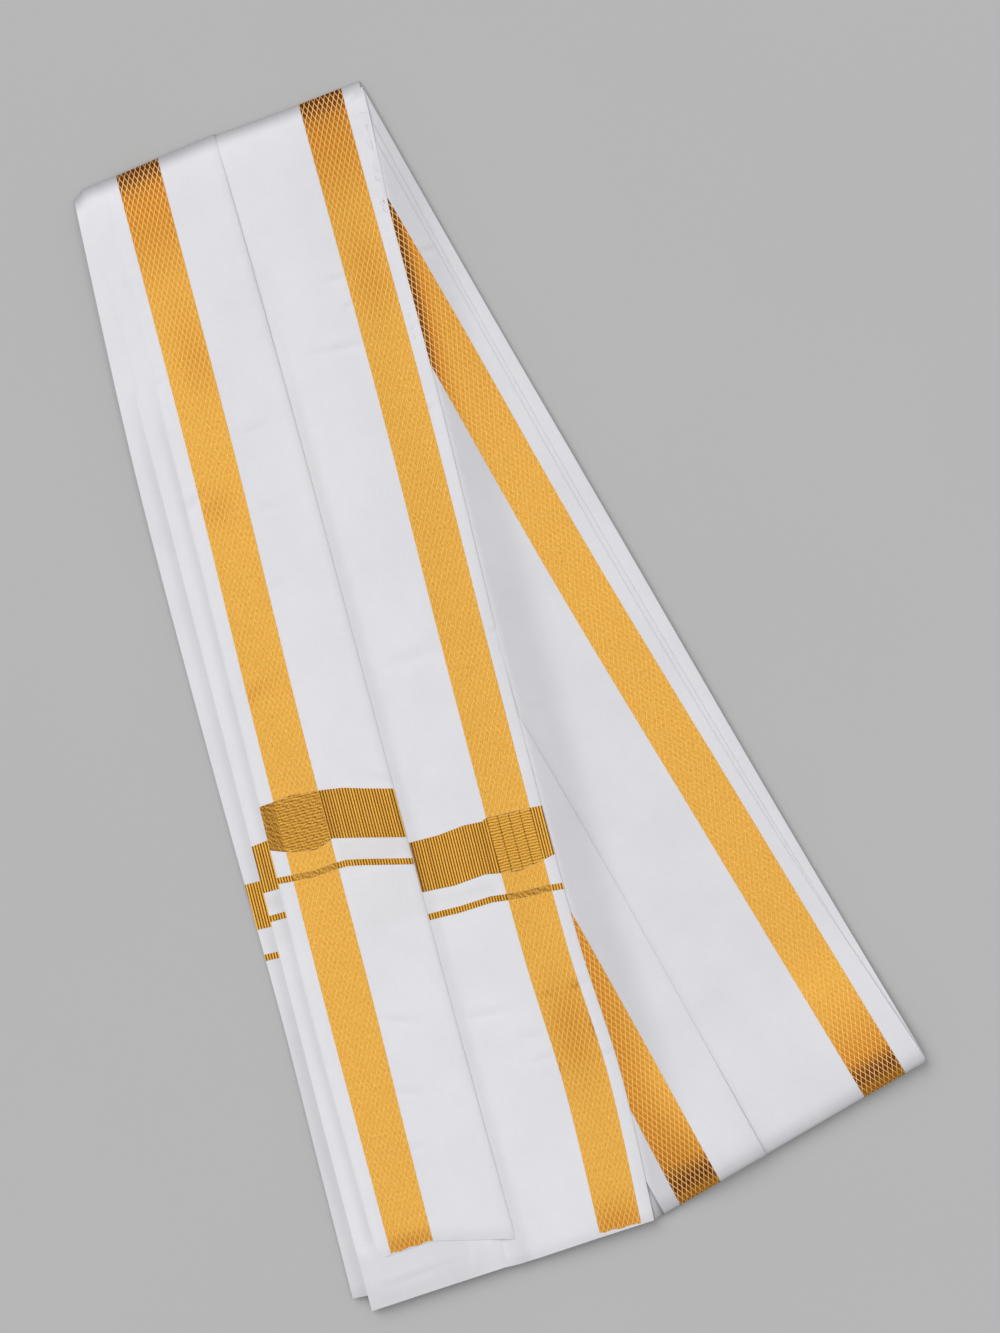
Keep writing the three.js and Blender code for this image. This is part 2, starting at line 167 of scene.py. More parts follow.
DROOP_FADE = 20  # over which a droop comes in and goes out along the cloth
DROOP_FROM = 5.2  # height at which a hidden layer of the front stretch starts to droop too

FOLD_SLOPE = 2.8  # a fold's rounding reaches back this many times its height
FOLD_FULLNESS = 2.4  # how soon a fold's upper half rises to its height
FOLD_ROUNDNESS = 2.2
FOLD_TIP = 0.22  # share of a fold's height at which it is widest
LOWER_FOLD_TIP = 0.62  # the same near the lower fold
# The lower fold is thicker than what it folds: by how much, how far in from its end, and how far
# across the cloth swells, away from what the front stretch lies on.
PUFF = 5.2
PUFF_ALONG = (9, 80)
PUFF_ACROSS = (4, 36)
LOWER_CORNER = 1.2  # how much shorter the back stretch is at its right edge
LOWER_CORNER_ACROSS = (147, 150)
FOLD_UNDER = 4  # how far a fold's lower half reaches back under it
UNDER_ANGLES = (90, 65, 40, 18)  # of the rows that turn under a fold, from the last one out
TOP_FOLD_ROWS = 18
LOWER_FOLD_ROWS = 14
FOLD_ROW_POWER = 2.2  # crowds a fold's rows towards its tip
FOLD_FLOOR = 0.45  # height of what turns under
# Several places along the top fold from its left end, and how far it bows outward there.
FOLD_BOW = (
    [0, 5, 10, 22, 43, 70, 110, 131, 145, 153],
    [-1.1, 1.7, 2, 1.7, 2.2, 2.6, 1.4, 1.2, 1.1, 1.1],
)
CORE_START = 4  # how far in from the top fold the front stretch's hidden layers start
BACK_START = 0.8  # the same of the back stretch
FOLD_TUCK = 0.3  # each millimetre further in makes the fold this much shorter
LIP = 0.25  # radius of a pleat's edge
LIP_UNDER = 4  # how far it turns under
LIP_ANGLES = np.linspace(-90, 90, 7)[:-1]
LIP_FULL = 2  # height above a fold's floor at which a pleat's edge has its whole depth
SHARP_ANGLE = 60  # degrees between faces beyond which an edge is shaded sharp


def smoothstep(value, low, high):
    """Rises smoothly from 0 at low to 1 at high."""
    t = np.clip((value - low) / (high - low), 0, 1)
    return t * t * (3 - 2 * t)


def between(first, last, share):
    """Goes from first to last as the share goes from 0 to 1."""
    return first + (last - first) * share


def heading(degrees):
    return np.array((math.cos(math.radians(degrees)), math.sin(math.radians(degrees))))


def turned(x, y, degrees):
    """Distances along an axis turned this far, and square to it."""
    axis = heading(degrees)
    return x * axis[0] + y * axis[1], y * axis[0] - x * axis[1]


FOLD_INWARD = heading(FOLD_HEADING - 90)


def fold_bow(points):
    return np.interp((points - TOP_LEFT) @ heading(FOLD_HEADING), *FOLD_BOW)


def top_fold_distance(points):
    return (points - TOP_LEFT) @ FOLD_INWARD + fold_bow(points)


class Stretch:
    """A visible length of the cloth, with an axis across it and one down it from the top fold."""

    def __init__(self, lean, edges):
        self.across = heading(lean)
        self.down = heading(lean - 90)
        self.edges = edges

    def edge(self, name, along):
        """How far across an edge lies, on a smooth curve through its row of the table."""
        stations = np.array(self.edges["along"], float)
        values = np.array(self.edges[name], float)
        last = len(stations) - 1
        before = np.maximum(np.arange(last + 1) - 1, 0)
        after = np.minimum(np.arange(last + 1) + 1, last)
        slopes = (values[after] - values[before]) / (stations[after] - stations[before])
        row = np.clip(np.searchsorted(stations, along, side="right") - 1, 0, last - 1)
        span = stations[row + 1] - stations[row]
        t = np.clip((along - stations[row]) / span, 0, 1)
        keep = 2 * t**3 - 3 * t**2 + 1
        bend = (t**3 - 2 * t**2 + t) * slopes[row] + (t**3 - t**2) * slopes[row + 1]
        return keep * values[row] + (1 - keep) * values[row + 1] + span * bend

    def place(self, across, along):
        return TOP_LEFT + across[..., None] * self.across + along[..., None] * self.down

    def from_top_fold(self, across, along, distance):
        """How far along lies what is this distance in from the top fold, given a first guess."""
        bow = fold_bow(self.place(across, along))
        inward = distance - bow - across * (self.across @ FOLD_INWARD)
        return inward / (self.down @ FOLD_INWARD)


FRONT = Stretch(FRONT_LEAN, FRONT_EDGES)
BACK = Stretch(BACK_LEAN, BACK_EDGES)


def line_at(line, across, by=0):
    """How far along a line across a stretch lies."""
    return np.interp(across, *line) + by


# ---- How the cloth lies ----


def waves(seed, count, longest, shortest):
    """A smooth uneven field over the surface, mostly between -1 and 1."""
    random = np.random.default_rng(seed)
    lengths = np.geomspace(longest, shortest, count)
    turns = random.uniform(0, 2 * math.pi, count)
    phases = random.uniform(0, 2 * math.pi, count)
    vectors = np.stack((np.cos(turns), np.sin(turns)), -1) * (2 * math.pi / lengths)[:, None]

    def field(points):
        return np.sin(points @ vectors.T + phases).sum(-1) / math.sqrt(count)

    return field


broad_waves = waves(seed=11, count=7, longest=160, shortest=48)
small_waves = waves(seed=23, count=8, longest=34, shortest=14)
BROAD_HEIGHT = 0.16
SMALL_HEIGHT = 0.035

# Creases: middle across and along, length, turn from the across axis in degrees, width, height.
FRONT_CREASES = [
    (115.3, 72.2, 12, -3, 1.2, 0.22),
    (118.5, 86.9, 5, -21, 1, 0.2),
    (109.4, 106.4, 25, 3, 1.3, 0.2),
    (146.8, 104.8, 6, -1, 0.9, 0.25),
    (147, 109.2, 6, 5, 0.9, 0.2),
    (146.5, 145.4, 5, -2, 0.9, 0.2),
    (149.5, 261.2, 5, -2, 0.9, 0.2),
    (18.9, 101.6, 6, -12, 1.1, 0.2),
    (20.2, 163.4, 14, -31, 1.5, 0.2),
    (59.1, 134.7, 19, -1, 1.6, 0.16),
    (54.6, 174.7, 13, -8, 1.5, 0.16),
    (49.2, 213.1, 5, -18, 1.2, 0.16),
    (113.4, 242.3, 17, 57, 2.2, 0.22),
    (107.3, 264.4, 25, -6, 2.4, 0.2),
    (76.1, 319.4, 12, 39, 1.6, 0.3),
    (55.2, 437.4, 18, 20, 1.3, 0.2),
    (51, 473.1, 9, 24, 1.1, 0.25),
    (48.7, 500.5, 7, 14, 1.1, 0.2),
    (98.9, 445.1, 24, 3, 1.6, 0.2),
    (116.7, 461.2, 7, 14, 1.3, 0.18),
    (120.8, 473.3, 12, -3, 1.3, 0.2),
    (149.2, 441.5, 12, -7, 1.4, 0.18),
    (151.6, 478.6, 8, -9, 1.1, 0.22),
    (32.7, 562.2, 31, -6, 1.1, 0.22),
    (60.8, 558, 16, 104, 1, 0.16),
]
BACK_CREASES = [
    (67.7, 335, 10, 49, 1.6, 0.2),
    (137.5, 112, 7, 21, 0.9, 0.45),
]
CREASE_BREADTH = 1.5  # times the widths above
CREASE_RISE = 2.0  # times the heights above
# The ridge beside a trough: its share of the trough's depth, and where and how wide it is, in
# widths of the trough.
RIDGE_SHARE = 0.6
RIDGE_PLACE = -1.9
RIDGE_WIDTH = 1.6


def crease_height(creases, across, along):
    """Soft troughs, each with a low ridge beside it, that fade at their ends."""
    total = np.zeros(np.shape(across))
    for middle_across, middle_along, length, turn, width, height in creases:
        x, y = turned(across - middle_across, along - middle_along, turn)
        sideways = y / (width * CREASE_BREADTH)
        fade = CREASE_RISE * np.exp(-((x / (length / 2)) ** 2))
        ridge = RIDGE_SHARE * np.exp(-(((sideways - RIDGE_PLACE) / RIDGE_WIDTH) ** 2))
        total += height * fade * (ridge - np.exp(-(sideways**2)))
    return total


def fold_share(distance, reach):
    """Share of the full height that a fold's upper half has at a distance in from its tip."""
    t = np.clip(distance / reach, 0, 1)
    return (1 - (1 - t) ** FOLD_FULLNESS) ** (1 / FOLD_ROUNDNESS)


def carried(points):
    """How much lower the front stretch lies than where the back one carries it."""
    distance = (points - TOP_LEFT) @ BACK.across
    return LIFT * (1 - smoothstep(distance, -RAMP_START - RAMP_LENGTH, -RAMP_START))


def lower_fold(across):
    """How far along the back stretch its lower fold lies."""
    return BACK_LENGTH - LOWER_CORNER * smoothstep(across, *LOWER_CORNER_ACROSS)


def droop_at(on, sheet, across, along, level):
    """How far a sheet hangs below its level near its edges."""
    total = np.zeros(np.shape(across))
    for edge, depth, width, (first, last) in DROOPS[sheet]:
        near = 1 - smoothstep(np.abs(across - on.edge(edge, along)), 0, width)
        near = near * smoothstep(along, first - DROOP_FADE, first + DROOP_FADE)
        total += depth * near * (1 - smoothstep(along, last - DROOP_FADE, last + DROOP_FADE))
    if sheet == "front_leaves":
        total *= np.clip((level - DROOP_FROM) / (LEVEL["front_lower"] - DROOP_FROM), 0, 1)
    if sheet == "back_leaves":
        total *= level / LEVEL["back_lower"]
    if sheet == "front_top":
        depth, reach = END_DROOP
        total += depth * (1 - smoothstep(line_at(TOP_END, across) - along, 0, reach))
    return total


def height_at(on, sheet, level, points, across, along):
    """Height of a sheet's upper face, which slopes down to the folds at its ends."""
    full = level - (carried(points) if on is FRONT else 0)
    full = full - droop_at(on, sheet, across, along, level)
    tip = FOLD_TIP * full
    if on is BACK:
        to_end = lower_fold(across) - along
        near_end = 1 - smoothstep(to_end, *PUFF_ALONG)
        swell = near_end * smoothstep(across, *PUFF_ACROSS)
        full = full + PUFF * swell * level / LEVEL["back_top"]
        tip = full * between(FOLD_TIP, LOWER_FOLD_TIP, near_end)
    tuck = FOLD_TUCK * (LEVEL["front_top"] - level)
    share = fold_share(top_fold_distance(points) - tuck, FOLD_SLOPE * level)
    if on is BACK:
        share = share * fold_share(to_end, FOLD_SLOPE * level)
    uneven = BROAD_HEIGHT * broad_waves(points) + SMALL_HEIGHT * small_waves(points)
    creases = FRONT_CREASES if on is FRONT else BACK_CREASES
    uneven = uneven + crease_height(creases, across, along)
    return tip + (full - tip + uneven) * share


# ---- Shells ----


def columns_of(left_lip, right_lip, width, cell, hidden):
    """A grid's columns as (share of the width, offset, drop): a pleat's edge turns under."""
    lip = [(LIP_UNDER, 2 * LIP), (LIP_UNDER / 2, 2 * LIP)]
    lip += [(LIP - LIP * heading(a)[0], LIP - LIP * heading(a)[1]) for a in LIP_ANGLES]
    inset = (LIP if left_lip else 0, LIP if right_lip else 0)
    shares = [0.0]
    while shares[-1] < 1:
        inside = hidden and hidden[0] <= shares[-1] < hidden[1]
        shares.append(shares[-1] + (HIDDEN_CELL if inside else cell) / width)
    shares = np.array(shares) / shares[-1]
    middle = [(s, inset[0] * (1 - s) - inset[1] * s, 0.0) for s in shares]
    left = [(0.0, x, drop) for x, drop in lip] if left_lip else []
    right = [(1.0, -x, drop) for x, drop in reversed(lip)] if right_lip else []
    return np.array(left + middle + right).T


def along_rows(on, across_at, start, end, level, cell):
    """How far along a grid's points lie, a row at a time, and how far under a fold each row is.

    Start and end are each "fold" or a function that at_line makes. Start may also be a distance
    in from the top fold.
    """
    reach = FOLD_SLOPE * level
    tuck = FOLD_TUCK * (LEVEL["front_top"] - level)
    fold_line = lower_fold(across_at(float(BACK_LENGTH)))

    def at_top_fold(distance):
        along = np.zeros(across_at(0).shape)
        for _ in range(4):
            along = on.from_top_fold(across_at(along), along, distance)
        return along

    def fold_rows(count, inward):
        """Rows from under a fold, round its tip and in to where it ends."""
        angles = [heading(angle) for angle in UNDER_ANGLES]
        places = reach * np.linspace(0, 1, count)[:-1] ** FOLD_ROW_POWER
        turning = [(inward(FOLD_UNDER * (1 - x)), y) for x, y in angles]
        return turning + [(inward(place), 0) for place in places]

    rows = []
    if start == "fold":
        rows += fold_rows(TOP_FOLD_ROWS, lambda distance: at_top_fold(tuck + distance))
        first = at_top_fold(tuck + reach)
    else:
        first = at_top_fold(start) if np.isscalar(start) else start(across_at)
    last = fold_line - reach if end == "fold" else end(across_at)
    count = max(2, int(round(np.max(last - first) / cell)) + 1)
    rows += [(between(first, last, share), 0) for share in np.linspace(0, 1, count)]
    if end == "fold":
        rows += reversed(fold_rows(LOWER_FOLD_ROWS, lambda distance: fold_line - distance))
    along, under = zip(*rows)
    return np.array(along), np.array(under)[:, None]


def at_line(line, by=0):
    """A shell's start or end: this far past a line across the stretch."""

    def find(across_at):
        along = np.full(across_at(0).shape, float(line[1][0]))
        for _ in range(3):
            along = line_at(line, across_at(along), by)
        return along

    return find


def shell(
    on,
    left,
    right,
    start,
    end,
    sheet,
    level=None,
    cell=CELL,
    row_cell=None,
    lips=(False, False),
    hidden=None,
    rise=0.0,
    thickness=LAYER,
    relief=None,
    uv_from=None,
):
    """A thin closed sheet between two edges, as a dict of arrays.

    Left and right are each an edge's name and how far beside it. Lips says which of them turn
    under, and hidden between which shares of the width nothing shows. A sheet hangs its thickness
    below its level, and one with a rise stands that far above it. Relief adds to its upper face.
    """
    level = level or LEVEL[sheet]
    left_name, left_by = left
    right_name, right_by = right
    middle = (on.edges["along"][0] + on.edges["along"][-1]) / 2
    width = on.edge(right_name, middle) + right_by - on.edge(left_name, middle) - left_by
    share, offset, drop = columns_of(*lips, width, cell, hidden)

    def across_at(along):
        from_left = on.edge(left_name, along) + left_by
        from_right = on.edge(right_name, along) + right_by
        return from_left * (1 - share) + from_right * share + offset

    along, under = along_rows(on, across_at, start, end, level, row_cell or cell)
    across = across_at(along)
    points = on.place(across, along)
    height = height_at(on, sheet, level, points, across, along)
    height = height * (1 - under) + FOLD_FLOOR * under
    height = height - drop * np.clip((height - FOLD_FLOOR) / LIP_FULL, 0, 1)
    grid = np.concatenate((points, height[..., None]), -1)
    normal = np.cross(np.gradient(grid, axis=0), np.gradient(grid, axis=1))
    normal /= np.maximum(np.linalg.norm(normal, axis=-1, keepdims=True), 1e-9)
    extra = relief(across, along)[..., None] if relief else 0.0
    upper = grid + normal * (rise + thickness * (rise > 0) + extra)
    lower = upper - normal * (thickness + extra)
    for side in (upper, lower):
        side[..., 2] = np.maximum(side[..., 2], 0)
    base = on.edge(uv_from, along) if uv_from else 0
    return {
        "upper": upper,
        "lower": lower,
        "uv": np.stack((across - base, along), -1),
        "across": across,
        "along": along,
        "points": points,
    }


def closed_quads(rows, columns, first):
    """The faces of a closed shell: upper grid, lower grid and the rim between them."""
    size = rows * columns
    index = first + np.arange(size).reshape(rows, columns)
    a, b, c, d = index[:-1, :-1], index[1:, :-1], index[1:, 1:], index[:-1, 1:]
    upper = np.stack((a, b, c, d), -1).reshape(-1, 4)
    lower = upper[:, ::-1] + size
    rim = np.concatenate((index[0], index[1:, -1], index[-1, -2::-1], index[-2:0:-1, 0]))
    sides = np.stack((rim, np.roll(rim, -1), np.roll(rim, -1) + size, rim + size), -1)
    return np.concatenate((upper, lower, sides))


def add_mesh(name, shells, material, attributes):
    """One object of these shells. Each attribute has a name and a function of a shell."""
    points, quads, uvs = [], [], []
    first = 0
    for part in shells:
        rows, columns = part["along"].shape
        points += [part["upper"].reshape(-1, 3), part["lower"].reshape(-1, 3)]
        quads.append(closed_quads(rows, columns, first))
        uvs += [part["uv"].reshape(-1, 2)] * 2
        first += 2 * rows * columns
    points = np.concatenate(points) * METRE
    quads = np.concatenate(quads)
    uvs = np.concatenate(uvs) * METRE
    mesh = bpy.data.meshes.new(name)
    mesh.vertices.add(len(points))
    mesh.vertices.foreach_set("co", points.ravel())
    mesh.loops.add(quads.size)
    mesh.loops.foreach_set("vertex_index", quads.ravel())
    mesh.polygons.add(len(quads))
    mesh.polygons.foreach_set("loop_start", np.arange(0, quads.size, 4))
    mesh.update(calc_edges=True)
    mesh.uv_layers.new(name="cloth").data.foreach_set("uv", uvs[quads.ravel()].ravel())
    for key, function in attributes.items():
        values = [np.tile(function(part).ravel(), 2) for part in shells]
        data = mesh.attributes.new(key, "FLOAT", "POINT").data
        data.foreach_set("value", np.concatenate(values).astype(np.float32))
    mesh.validate()
    mesh.shade_smooth()
    mesh.set_sharp_from_angle(angle=math.radians(SHARP_ANGLE))
    mesh.materials.append(material)
    piece = bpy.data.objects.new(name, mesh)
    scene.collection.objects.link(piece)
    return piece


# ---- Materials ----


class Graph:
    """A material's nodes, made a call at a time."""

    def __init__(self, name):
        self.material = bpy.data.materials.new(name)
        self.material.use_nodes = True
        self.tree = self.material.node_tree
        self.shader = self.tree.nodes["Principled BSDF"]

    def node(self, kind, inputs=(), output=0, **settings):
        made = self.tree.nodes.new(kind)
        for key, value in settings.items():
            setattr(made, key, value)
        for key, value in dict(inputs).items():
            self.put(made.inputs[key], value)
        return made.outputs[output]

    def put(self, socket, value):
        if isinstance(value, bpy.types.NodeSocket):
            self.tree.links.new(value, socket)
        else:
            socket.default_value = value

    def math(self, operation, *values):
        return self.node("ShaderNodeMath", enumerate(values), operation=operation)

    def mix(self, share, first, second):
        inputs = {0: share, 6: first, 7: second}
        return self.node("ShaderNodeMix", inputs, 2, data_type="RGBA")

    def ramp(self, value, low, high, start=0.0, end=1.0):
        """Goes smoothly from start to end as the value goes from low to high."""
        inputs = {0: value, 1: low, 2: high, 3: start, 4: end}
        return self.node("ShaderNodeMapRange", inputs, interpolation_type="SMOOTHSTEP")

    def attribute(self, name):
        return self.node("ShaderNodeAttribute", output="Fac", attribute_name=name)

    def cloth(self, across_scale, along_scale):
        """Places on the flat cloth in millimetres, times a scale each way."""
        uv = self.node("ShaderNodeUVMap", uv_map="cloth")
        return self.times(uv, (across_scale / METRE, along_scale / METRE, 1))

    def across_along(self):
        places = {0: self.cloth(1, 1)}
        return [self.node("ShaderNodeSeparateXYZ", places, axis) for axis in (0, 1)]

    def noise(self, places, detail=3.0, roughness=0.5):
        inputs = {"Vector": places, "Scale": 1.0, "Detail": detail, "Roughness": roughness}
        return self.node("ShaderNodeTexNoise", inputs)

    def times(self, vector, value):
        """A vector or colour, times a number or another vector."""
        return self.node("ShaderNodeVectorMath", {0: vector, 1: value}, operation="MULTIPLY")

    def bump(self, height, distance):
        inputs = {"Strength": 1.0, "Distance": distance, "Height": height}
        self.put(self.shader.inputs["Normal"], self.node("ShaderNodeBump", inputs))

    def set(self, **values):
        for key, value in values.items():
            self.put(self.shader.inputs[key.replace("_", " ")], value)


def rgb(red, green, blue):
    """A colour as a screen shows it, in 0 to 255."""
    return tuple(
        c / 12.92 if c <= 0.04045 else ((c + 0.055) / 1.055) ** 2.4
        for c in (red / 255, green / 255, blue / 255)
    ) + (1.0,)


COTTON_WHITE = rgb(240, 240, 244)
COTTON_SHADE = rgb(232, 232, 238)
COTTON_BEIGE = rgb(218, 209, 196)
THREAD = 0.34  # between threads of the cotton
GOLD_STRAND = rgb(243, 195, 102)
# Painted light: the strands stay pale where the gold turns away.
PAINTED_LIGHT_STRAND = rgb(250, 208, 126)
GOLD_GROUND = rgb(220, 154, 52)
GOLD_PALE = rgb(226, 174, 76)
# Painted shade: the ground where the gold turns away, amber and then darker.
GOLD_AMBER_PAINTED_SHADE = rgb(194, 120, 32)
GOLD_BROWN_PAINTED_SHADE = rgb(106, 46, 8)
RIB_LIGHT = rgb(240, 182, 74)
RIB_DARK = rgb(104, 58, 6)
DIAMOND = (2.5, 5.25)  # a diamond of the lattice, across and along
STRAND = (0.025, 0.105)  # from a strand's middle to its edge, as shares of a diamond
FLOOR_GREYS = rgb(188, 188, 188), rgb(190, 190, 190)
COTTON_FINISH = {"Roughness": 0.88, "Specular_IOR_Level": 0.25}
COTTON_SHEEN = {"Sheen_Weight": 0.12, "Sheen_Roughness": 0.5}
LATTICE_FINISH = {"Metallic": 0.5, "Roughness": 0.44, "Specular_IOR_Level": 0.2}
RIB_FINISH = {"Metallic": 0.5, "Roughness": 0.46, "Specular_IOR_Level": 0.2}
FLOOR_FINISH = {"Roughness": 0.9, "Specular_IOR_Level": 0.0}
FINE_BUMP = 0.00008  # metres, of the cotton and the ribs
LATTICE_BUMP = 0.0001


def cotton_material():
    """White cotton. The attribute "beige" says where gold shows through it, where cream threads run
    along its selvages and where a painted highlight lies along the top pleat's fold. The attribute
    "shade" is painted shade: how much darker it is where other cloth lies close, near the folds and
    over the whole back stretch."""
    graph = Graph("cotton")
    across, along = graph.across_along()
    turn = 2 * math.pi / THREAD
    weft = graph.math("SINE", graph.math("MULTIPLY", along, turn))
    warp = graph.math("SINE", graph.math("MULTIPLY", across, turn))
    weave = graph.math("MULTIPLY", warp, weft)
    slubs = graph.noise(graph.cloth(1.6, 0.12))
    lengthwise = graph.noise(graph.cloth(0.1, 1.3))
    cloudy = graph.noise(graph.cloth(0.03, 0.022), roughness=0.55)
    threads = graph.math("MULTIPLY", graph.math("ADD", slubs, lengthwise), 0.5)
    cloud_shade = graph.ramp(cloudy, 0.3, 0.7, 0.0, 0.6)
    thread_shade = graph.ramp(threads, 0.35, 0.65, 0.0, 0.4)
    plain = graph.mix(graph.math("ADD", cloud_shade, thread_shade), COTTON_WHITE, COTTON_SHADE)
    tinted = graph.mix(graph.attribute("beige"), plain, COTTON_BEIGE)
    # Painted shade: the colour darkens by the "shade" attribute.
    light = graph.math("SUBTRACT", 1.0, graph.attribute("shade"))
    graph.set(Base_Color=graph.times(tinted, light), **COTTON_FINISH, **COTTON_SHEEN)
    graph.bump(graph.math("ADD", graph.math("MULTIPLY", weave, 0.35), threads), FINE_BUMP)
    return graph.material


def thread_noise(graph, along_stretch):
    """Grain of the metal thread, longer along the cloth than across it."""
    return graph.noise(graph.cloth(2.1, 2.1 / along_stretch), roughness=0.6)


def lattice_material():
    """Gold with a lattice of diamonds. Its attribute of painted sheen and shade is 1 where the gold
    lies flat and shines all over, and 0 where it turns away into painted shade and only the lattice
    is light."""
    graph = Graph("zari_lattice")
    across, along = graph.across_along()
    width, length = DIAMOND
    columns = graph.math("DIVIDE", across, width)
    rows = graph.math("DIVIDE", along, length)
    strands = []
    for operation in ("ADD", "SUBTRACT"):
        diagonal = graph.math(operation, columns, rows)
        strands.append(graph.math("PINGPONG", diagonal, 0.5))
    lattice = graph.ramp(graph.math("MINIMUM", *strands), *STRAND, 1.0, 0.0)
    grain = thread_noise(graph, 3.0)
    speckle = graph.noise(graph.cloth(1.8, 0.5), roughness=0.7)
    patchy = graph.noise(graph.cloth(0.25, 0.07), detail=2.0)
    # Painted sheen and shade: where the gold turns away its ground darkens and its lattice shows.
    painted_sheen = graph.attribute("painted_sheen")
    painted_shade_ground = graph.mix(graph.ramp(painted_sheen, 0.0, 0.4), GOLD_BROWN_PAINTED_SHADE, GOLD_AMBER_PAINTED_SHADE)
    speckled = graph.mix(graph.ramp(speckle, 0.42, 0.58), GOLD_GROUND, GOLD_PALE)
    ground = graph.mix(graph.ramp(painted_sheen, 0.25, 1.0), painted_shade_ground, speckled)
    strand = graph.mix(graph.ramp(painted_sheen, 0.0, 0.4), PAINTED_LIGHT_STRAND, GOLD_STRAND)
    clear = graph.ramp(graph.math("ADD", painted_sheen, patchy), 1.2, 1.8, 1.0, 0.6)
    woven = graph.mix(graph.math("MULTIPLY", lattice, clear), ground, strand)
    light = graph.ramp(grain, 0.3, 0.72, 0.82, 1.1)
    graph.set(Base_Color=graph.times(woven, light), **LATTICE_FINISH)
    graph.bump(graph.math("ADD", graph.math("MULTIPLY", lattice, 0.4), grain), LATTICE_BUMP)
    return graph.material


def ribbed_material():
    """Gold ribs: the attribute "ridge" says how high on a rib a point is."""
    graph = Graph("zari_ribs")
    ridge = graph.attribute("ridge")
    grain = thread_noise(graph, 1.5)
    uneven = graph.math("ADD", ridge, graph.ramp(grain, 0.25, 0.75, -0.2, 0.2))
    colour = graph.mix(graph.ramp(uneven, 0.05, 0.95), RIB_DARK, RIB_LIGHT)
    graph.set(Base_Color=colour, **RIB_FINISH)
    graph.bump(grain, FINE_BUMP)
    return graph.material


def floor_material():
    graph = Graph("floor")
    places = graph.node("ShaderNodeTexCoord", output="Object")
    noise = graph.node("ShaderNodeTexNoise", {"Vector": places, "Scale": 6.0, "Detail": 2.0})
    graph.set(Base_Color=graph.mix(noise, *FLOOR_GREYS), **FLOOR_FINISH)
    return graph.material


COTTON = cotton_material()
LATTICE = lattice_material()
RIBBED = ribbed_material()

# ---- Painted sheen and shade, tints and patterns on the cloth ----

# Painted shade on patches of gold that tilt away: stretch, middle across and along, half sizes
# across and along, turn in degrees, and how much darker.
PAINTED_GOLD_SHADE_PATCHES = [
    (FRONT, 30, 168, 12, 12, 0, 0.3),
    (FRONT, 24, 262, 16, 5, -25, 0.3),
    (FRONT, 39, 92, 13, 25, 0, 0.35),
    (FRONT, 133, 75, 14, 26, 0, 0.35),
    (FRONT, 139, 462, 15, 30, 0, 0.42),
    (FRONT, 137, 563, 22, 14, 0, 0.5),
    (FRONT, 34, 548, 20, 9, 0, 0.5),
    (FRONT, 145, 442, 2.5, 1.2, 10, 0.5),
    (FRONT, 130, 442, 4, 1, 0, 0.3),
    (FRONT, 127, 479, 1.2, 3, 0, 0.5),
    (FRONT, 148.5, 463, 1.2, 5, 0, 0.5),
]


def right_of_front(points):
    """How far right of the front stretch's right selvage points lie."""
    across, along = (points - TOP_LEFT) @ FRONT.across, (points - TOP_LEFT) @ FRONT.down
    return across - FRONT.edge("rightSelvage", along)


# The gold's painted sheen at distances in from the top fold, and the back's from the lower one.
FRONT_GOLD_SHEEN_BY_FOLD = (
    [0, 2, 6, 10, 16, 25, 40, 60, 90],
    [0.08, 0, 0.05, 0.2, 0.3, 0.38, 0.52, 0.76, 0.95],
)
BACK_GOLD_SHEEN_BY_FOLD = (
    [0, 3, 6, 10, 14, 20, 35, 60],
    [0.4, 0.3, 0.1, 0.03, 0.2, 0.45, 0.7, 1],
)
# The back's painted sheen: duller near the top fold, lighter further in.
BACK_GOLD_SHEEN_SPAN = (0.56, 0.88)
BACK_GOLD_LIGHTER = (80, 240)  # distances in from the top fold over which it gets lighter
# Painted shade beside the front stretch: how much, and from how far to how far out. The pairs
# are for its right border and, this far from the top fold, for its left one.
BESIDE_DARKER = (0.68, 0.5)
BESIDE_FROM = -3
BESIDE_TO = (12, 30)
LEFT_BORDER_FROM = (150, 260)


def gold_painted_sheen(on):
    """Painted sheen and shade: 1 where the gold lies flat and shines, down to 0 where it
    turns away.
    """

    def painted_sheen(part):
        across, along, points = part["across"], part["along"], part["points"]
        fold = top_fold_distance(points)
        # Darker near the folds, beside the front stretch and on patches that tilt away.
        if on is FRONT:
            value = np.interp(fold, *FRONT_GOLD_SHEEN_BY_FOLD)
        else:
            left_border = smoothstep(fold, *LEFT_BORDER_FROM)
            reach = between(*BESIDE_TO, left_border)
            near = 1 - smoothstep(right_of_front(points), BESIDE_FROM, reach)
            value = between(*BACK_GOLD_SHEEN_SPAN, smoothstep(fold, *BACK_GOLD_LIGHTER))
            value = value - between(*BESIDE_DARKER, left_border) * near
            value = value * np.interp(BACK_LENGTH - along, *BACK_GOLD_SHEEN_BY_FOLD)
        for stretch, x, y, half_across, half_along, turn, darker in PAINTED_GOLD_SHADE_PATCHES:
            if stretch is on:
                u, v = turned(across - x, along - y, turn)
                value = value - darker * np.exp(-((u / half_across) ** 2) - (v / half_along) ** 2)
        return np.clip(value, 0, 1)

    return painted_sheen


RIB_PITCH = 1.4
ROW_PITCH = 1.45
RELIEF = 0.12  # height of the ridges
# Shares of the ridges' height, each followed by what its pattern adds.
DOTS = (0.5, 0.35)
MARGIN_DOTS = (0.2, 0.36)
LINE_DOTS = (0.27, 0.4)
WAVY_LEAST, WAVY_ROWS, WAVY_DOTS = 0.2, 0.3, 0.26
RIBS_UNEVEN = (0.95, 0.1)
FINE_ROWS = (0.34, 0.8)  # from the least to the most
